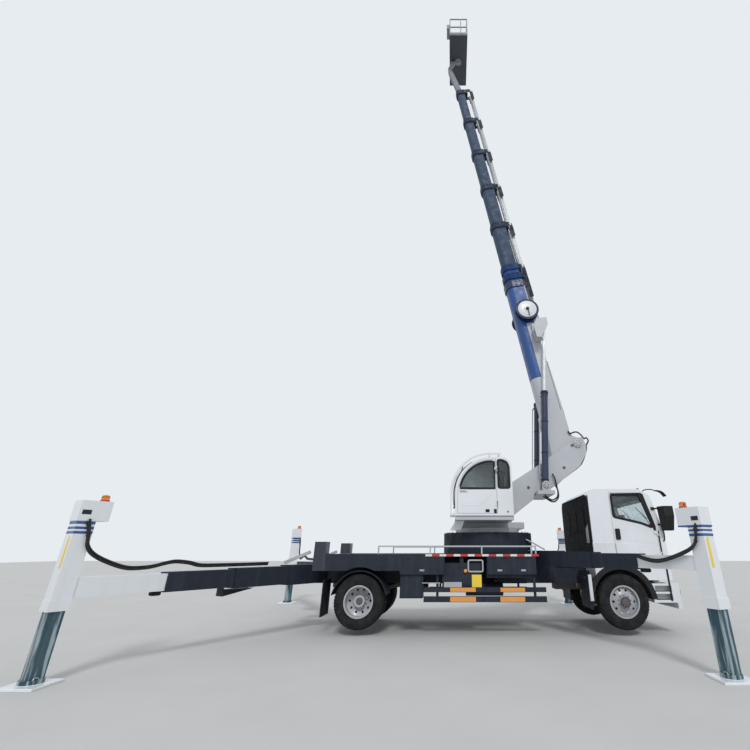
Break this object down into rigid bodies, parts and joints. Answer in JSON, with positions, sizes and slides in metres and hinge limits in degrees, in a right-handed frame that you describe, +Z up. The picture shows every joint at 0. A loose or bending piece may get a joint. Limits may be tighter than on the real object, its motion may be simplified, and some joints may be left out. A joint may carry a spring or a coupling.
{
  "type": "cherry picker truck",
  "caption": "Two-axle truck with a raised telescopic boom and work basket on a slewing turret with an operator's cab, standing on four extended outriggers.",
  "frame": {"origin": "ground level, in the middle of the footprint, whose ends are the rear outrigger pads and the front bumper", "axes": "X forward, Y to the driver's left, Z up along the raised boom"},
  "size_m": [10.2575, 9.31, 21.1301],
  "materials": {
    "white_paint": "gloss",
    "blue_paint": "gloss",
    "teal_paint": "gloss",
    "slate_paint": "satin",
    "dark_paint": "satin",
    "grey_paint": "satin",
    "silver_paint": "satin",
    "cast_grey": "cast",
    "tyre_rubber": "worn",
    "black_plastic": "matte",
    "dark_fabric": "woven",
    "clear_glass": "clear",
    "rod_chrome": "polished"
  },
  "bodies": {
    "chassis": {"chassis_frame": "dark_paint", "outrigger_casings": "dark_paint", "deck": "dark_paint", "deck_rails": "dark_paint", "side_lockers": "dark_paint", "tanks": "dark_paint", "side_guards": "dark_paint", "engine_block": "cast_grey", "axles": "cast_grey", "front_bumper": "white_paint"},
    "cab": {"cab_shell": "white_paint", "cab_glass": "clear_glass", "cab_interior": "dark_fabric", "cab_mirrors": "black_plastic"},
    "door_right": {"cab_door_right": "white_paint"},
    "door_left": {"cab_door_left": "white_paint"},
    "knuckle_right": {"steering_knuckle_right": "cast_grey"},
    "knuckle_left": {"steering_knuckle_left": "cast_grey"},
    "front_wheel_right": {"front_tyre_right": "tyre_rubber", "front_rim_right": "silver_paint"},
    "front_wheel_left": {"front_tyre_left": "tyre_rubber", "front_rim_left": "silver_paint"},
    "rear_wheels_right": {"rear_tyres_right": "tyre_rubber", "rear_rims_right": "silver_paint"},
    "rear_wheels_left": {"rear_tyres_left": "tyre_rubber", "rear_rims_left": "silver_paint"},
    "turret": {"turret": "white_paint", "operator_cab": "white_paint", "operator_glass": "clear_glass", "operator_seat": "dark_fabric"},
    "operator_door": {"operator_door": "white_paint"},
    "lift_barrels": {"lift_barrels": "blue_paint"},
    "lift_rods": {"lift_rods": "rod_chrome"},
    "boom_root": {"boom_root": "white_paint", "hose_reels": "white_paint"},
    "boom_section_1": {"boom_section_1": "slate_paint"},
    "boom_section_2": {"boom_section_2": "slate_paint"},
    "boom_section_3": {"boom_section_3": "slate_paint"},
    "boom_section_4": {"boom_section_4": "slate_paint"},
    "boom_section_5": {"boom_section_5": "slate_paint"},
    "boom_section_6": {"boom_section_6": "slate_paint"},
    "boom_section_7": {"boom_section_7": "slate_paint"},
    "basket_carrier": {"basket_carrier": "grey_paint"},
    "basket": {"basket": "grey_paint"},
    "outrigger_outer_rear_right": {"outrigger_outer_rear_right": "dark_paint"},
    "outrigger_middle_rear_right": {"outrigger_middle_rear_right": "dark_paint"},
    "outrigger_beam_rear_right": {"outrigger_beam_rear_right": "white_paint"},
    "outrigger_jack_rear_right": {"outrigger_jack_rear_right": "teal_paint"},
    "outrigger_outer_rear_left": {"outrigger_outer_rear_left": "dark_paint"},
    "outrigger_middle_rear_left": {"outrigger_middle_rear_left": "dark_paint"},
    "outrigger_beam_rear_left": {"outrigger_beam_rear_left": "white_paint"},
    "outrigger_jack_rear_left": {"outrigger_jack_rear_left": "teal_paint"},
    "outrigger_outer_front_right": {"outrigger_outer_front_right": "dark_paint"},
    "outrigger_middle_front_right": {"outrigger_middle_front_right": "dark_paint"},
    "outrigger_beam_front_right": {"outrigger_beam_front_right": "white_paint"},
    "outrigger_jack_front_right": {"outrigger_jack_front_right": "teal_paint"},
    "outrigger_outer_front_left": {"outrigger_outer_front_left": "dark_paint"},
    "outrigger_middle_front_left": {"outrigger_middle_front_left": "dark_paint"},
    "outrigger_beam_front_left": {"outrigger_beam_front_left": "white_paint"},
    "outrigger_jack_front_left": {"outrigger_jack_front_left": "teal_paint"}
  },
  "joints": [
    {"name": "cab_tilt", "type": "hinge", "parent": "chassis", "child": "cab", "pos_m": [4.959, 0, 0.96], "axis": [0, 1, 0], "range_deg": [0, 45]},
    {"name": "door_right_swing", "type": "hinge", "parent": "cab", "child": "door_right", "pos_m": [4.835, -1.166, 1.7], "axis": [0, 0, 1], "range_deg": [0, 70]},
    {"name": "door_left_swing", "type": "hinge", "parent": "cab", "child": "door_left", "pos_m": [4.835, 1.166, 1.7], "axis": [0, 0, -1], "range_deg": [0, 70]},
    {"name": "steer_right", "type": "hinge", "parent": "chassis", "child": "knuckle_right", "pos_m": [3.909, -0.88, 0.61], "axis": [0, 0, 1], "range_deg": [-38, 38]},
    {"name": "front_wheel_right_spin", "type": "hinge", "parent": "knuckle_right", "child": "front_wheel_right", "pos_m": [3.909, -1.075, 0.61], "axis": [0, 1, 0], "continuous": true},
    {"name": "rear_wheels_right_spin", "type": "hinge", "parent": "chassis", "child": "rear_wheels_right", "pos_m": [-1.491, -0.91, 0.61], "axis": [0, 1, 0], "continuous": true},
    {"name": "steer_left", "type": "hinge", "parent": "chassis", "child": "knuckle_left", "pos_m": [3.909, 0.88, 0.61], "axis": [0, 0, 1], "range_deg": [-38, 38]},
    {"name": "front_wheel_left_spin", "type": "hinge", "parent": "knuckle_left", "child": "front_wheel_left", "pos_m": [3.909, 1.075, 0.61], "axis": [0, 1, 0], "continuous": true},
    {"name": "rear_wheels_left_spin", "type": "hinge", "parent": "chassis", "child": "rear_wheels_left", "pos_m": [-1.491, 0.91, 0.61], "axis": [0, 1, 0], "continuous": true},
    {"name": "slew", "type": "hinge", "parent": "chassis", "child": "turret", "pos_m": [1.259, 0, 1.94], "axis": [0, 0, 1], "continuous": true},
    {"name": "operator_door_swing", "type": "hinge", "parent": "turret", "child": "operator_door", "pos_m": [1.397, -1.414, 2.9], "axis": [0, 0, 1], "range_deg": [0, 80]},
    {"name": "luff", "type": "hinge", "parent": "turret", "child": "boom_root", "pos_m": [3.589, 0, 4.07], "axis": [0, 1, 0], "range_deg": [-80, 1.5]},
    {"name": "lift_barrel_swing", "type": "hinge", "parent": "turret", "child": "lift_barrels", "pos_m": [2.649, 0, 3], "axis": [0, 1, 0], "range_deg": [-67.9, 1.3]},
    {"name": "lift_rod_stroke", "type": "slide", "parent": "lift_barrels", "child": "lift_rods", "axis": [0.0767, 0, 0.9971], "range_m": [-1.69, 0.033]},
    {"name": "extend_1", "type": "slide", "parent": "boom_root", "child": "boom_section_1", "axis": [-0.1736, 0, 0.9848], "range_m": [-0.09, 3.3]},
    {"name": "extend_2", "type": "slide", "parent": "boom_section_1", "child": "boom_section_2", "axis": [-0.1736, 0, 0.9848], "range_m": [-0.09, 3.3]},
    {"name": "extend_3", "type": "slide", "parent": "boom_section_2", "child": "boom_section_3", "axis": [-0.1736, 0, 0.9848], "range_m": [-1.44, 2.1]},
    {"name": "extend_4", "type": "slide", "parent": "boom_section_3", "child": "boom_section_4", "axis": [-0.1736, 0, 0.9848], "range_m": [-1.44, 2.1]},
    {"name": "extend_5", "type": "slide", "parent": "boom_section_4", "child": "boom_section_5", "axis": [-0.1736, 0, 0.9848], "range_m": [-1.44, 2.1]},
    {"name": "extend_6", "type": "slide", "parent": "boom_section_5", "child": "boom_section_6", "axis": [-0.1736, 0, 0.9848], "range_m": [-1.44, 2.1]},
    {"name": "extend_7", "type": "slide", "parent": "boom_section_6", "child": "boom_section_7", "axis": [-0.1736, 0, 0.9848], "range_m": [-1.44, 2.1]},
    {"name": "basket_level", "type": "hinge", "parent": "boom_section_7", "child": "basket_carrier", "pos_m": [0.31153, 0, 19.49014], "axis": [0, 1, 0], "range_deg": [-1.5, 80]},
    {"name": "basket_turn", "type": "hinge", "parent": "basket_carrier", "child": "basket", "pos_m": [0.66153, 0, 20.03014], "axis": [0, 0, 1], "range_deg": [-90, 90]},
    {"name": "rear_right_outer_extend", "type": "slide", "parent": "chassis", "child": "outrigger_outer_rear_right", "axis": [-0.503, -0.8643, 0], "range_m": [-1.147, 0]},
    {"name": "rear_right_middle_extend", "type": "slide", "parent": "outrigger_outer_rear_right", "child": "outrigger_middle_rear_right", "axis": [-0.503, -0.8643, 0], "range_m": [-1.147, 0]},
    {"name": "rear_right_beam_extend", "type": "slide", "parent": "outrigger_middle_rear_right", "child": "outrigger_beam_rear_right", "axis": [-0.503, -0.8643, 0], "range_m": [-1.147, 0]},
    {"name": "rear_right_jack", "type": "slide", "parent": "outrigger_beam_rear_right", "child": "outrigger_jack_rear_right", "axis": [0, 0, -1], "range_m": [-0.72, 0]},
    {"name": "rear_left_outer_extend", "type": "slide", "parent": "chassis", "child": "outrigger_outer_rear_left", "axis": [-0.503, 0.8643, 0], "range_m": [-1.147, 0]},
    {"name": "rear_left_middle_extend", "type": "slide", "parent": "outrigger_outer_rear_left", "child": "outrigger_middle_rear_left", "axis": [-0.503, 0.8643, 0], "range_m": [-1.147, 0]},
    {"name": "rear_left_beam_extend", "type": "slide", "parent": "outrigger_middle_rear_left", "child": "outrigger_beam_rear_left", "axis": [-0.503, 0.8643, 0], "range_m": [-1.147, 0]},
    {"name": "rear_left_jack", "type": "slide", "parent": "outrigger_beam_rear_left", "child": "outrigger_jack_rear_left", "axis": [0, 0, -1], "range_m": [-0.72, 0]},
    {"name": "front_right_outer_extend", "type": "slide", "parent": "chassis", "child": "outrigger_outer_front_right", "axis": [0.4446, -0.8957, 0], "range_m": [-1.003, 0]},
    {"name": "front_right_middle_extend", "type": "slide", "parent": "outrigger_outer_front_right", "child": "outrigger_middle_front_right", "axis": [0.4446, -0.8957, 0], "range_m": [-1.003, 0]},
    {"name": "front_right_beam_extend", "type": "slide", "parent": "outrigger_middle_front_right", "child": "outrigger_beam_front_right", "axis": [0.4446, -0.8957, 0], "range_m": [-1.003, 0]},
    {"name": "front_right_jack", "type": "slide", "parent": "outrigger_beam_front_right", "child": "outrigger_jack_front_right", "axis": [0, 0, -1], "range_m": [-0.72, 0]},
    {"name": "front_left_outer_extend", "type": "slide", "parent": "chassis", "child": "outrigger_outer_front_left", "axis": [0.4446, 0.8957, 0], "range_m": [-1.003, 0]},
    {"name": "front_left_middle_extend", "type": "slide", "parent": "outrigger_outer_front_left", "child": "outrigger_middle_front_left", "axis": [0.4446, 0.8957, 0], "range_m": [-1.003, 0]},
    {"name": "front_left_beam_extend", "type": "slide", "parent": "outrigger_middle_front_left", "child": "outrigger_beam_front_left", "axis": [0.4446, 0.8957, 0], "range_m": [-1.003, 0]},
    {"name": "front_left_jack", "type": "slide", "parent": "outrigger_beam_front_left", "child": "outrigger_jack_front_left", "axis": [0, 0, -1], "range_m": [-0.72, 0]}
  ],
  "couplings": [
    {"joint": "steer_left", "follows": "steer_right", "ratio": 1},
    {"joint": "lift_barrel_swing", "follows": "luff", "ratio": 0.848},
    {"joint": "lift_rod_stroke", "follows": "luff", "m_per_rad": 1.2075},
    {"joint": "extend_2", "follows": "extend_1", "ratio": 1},
    {"joint": "extend_4", "follows": "extend_3", "ratio": 1},
    {"joint": "extend_5", "follows": "extend_3", "ratio": 1},
    {"joint": "extend_6", "follows": "extend_3", "ratio": 1},
    {"joint": "extend_7", "follows": "extend_3", "ratio": 1},
    {"joint": "basket_level", "follows": "luff", "ratio": -1},
    {"joint": "rear_right_middle_extend", "follows": "rear_right_outer_extend", "ratio": 1},
    {"joint": "rear_right_beam_extend", "follows": "rear_right_outer_extend", "ratio": 1},
    {"joint": "rear_left_middle_extend", "follows": "rear_left_outer_extend", "ratio": 1},
    {"joint": "rear_left_beam_extend", "follows": "rear_left_outer_extend", "ratio": 1},
    {"joint": "front_right_middle_extend", "follows": "front_right_outer_extend", "ratio": 1},
    {"joint": "front_right_beam_extend", "follows": "front_right_outer_extend", "ratio": 1},
    {"joint": "front_left_middle_extend", "follows": "front_left_outer_extend", "ratio": 1},
    {"joint": "front_left_beam_extend", "follows": "front_left_outer_extend", "ratio": 1}
  ]
}
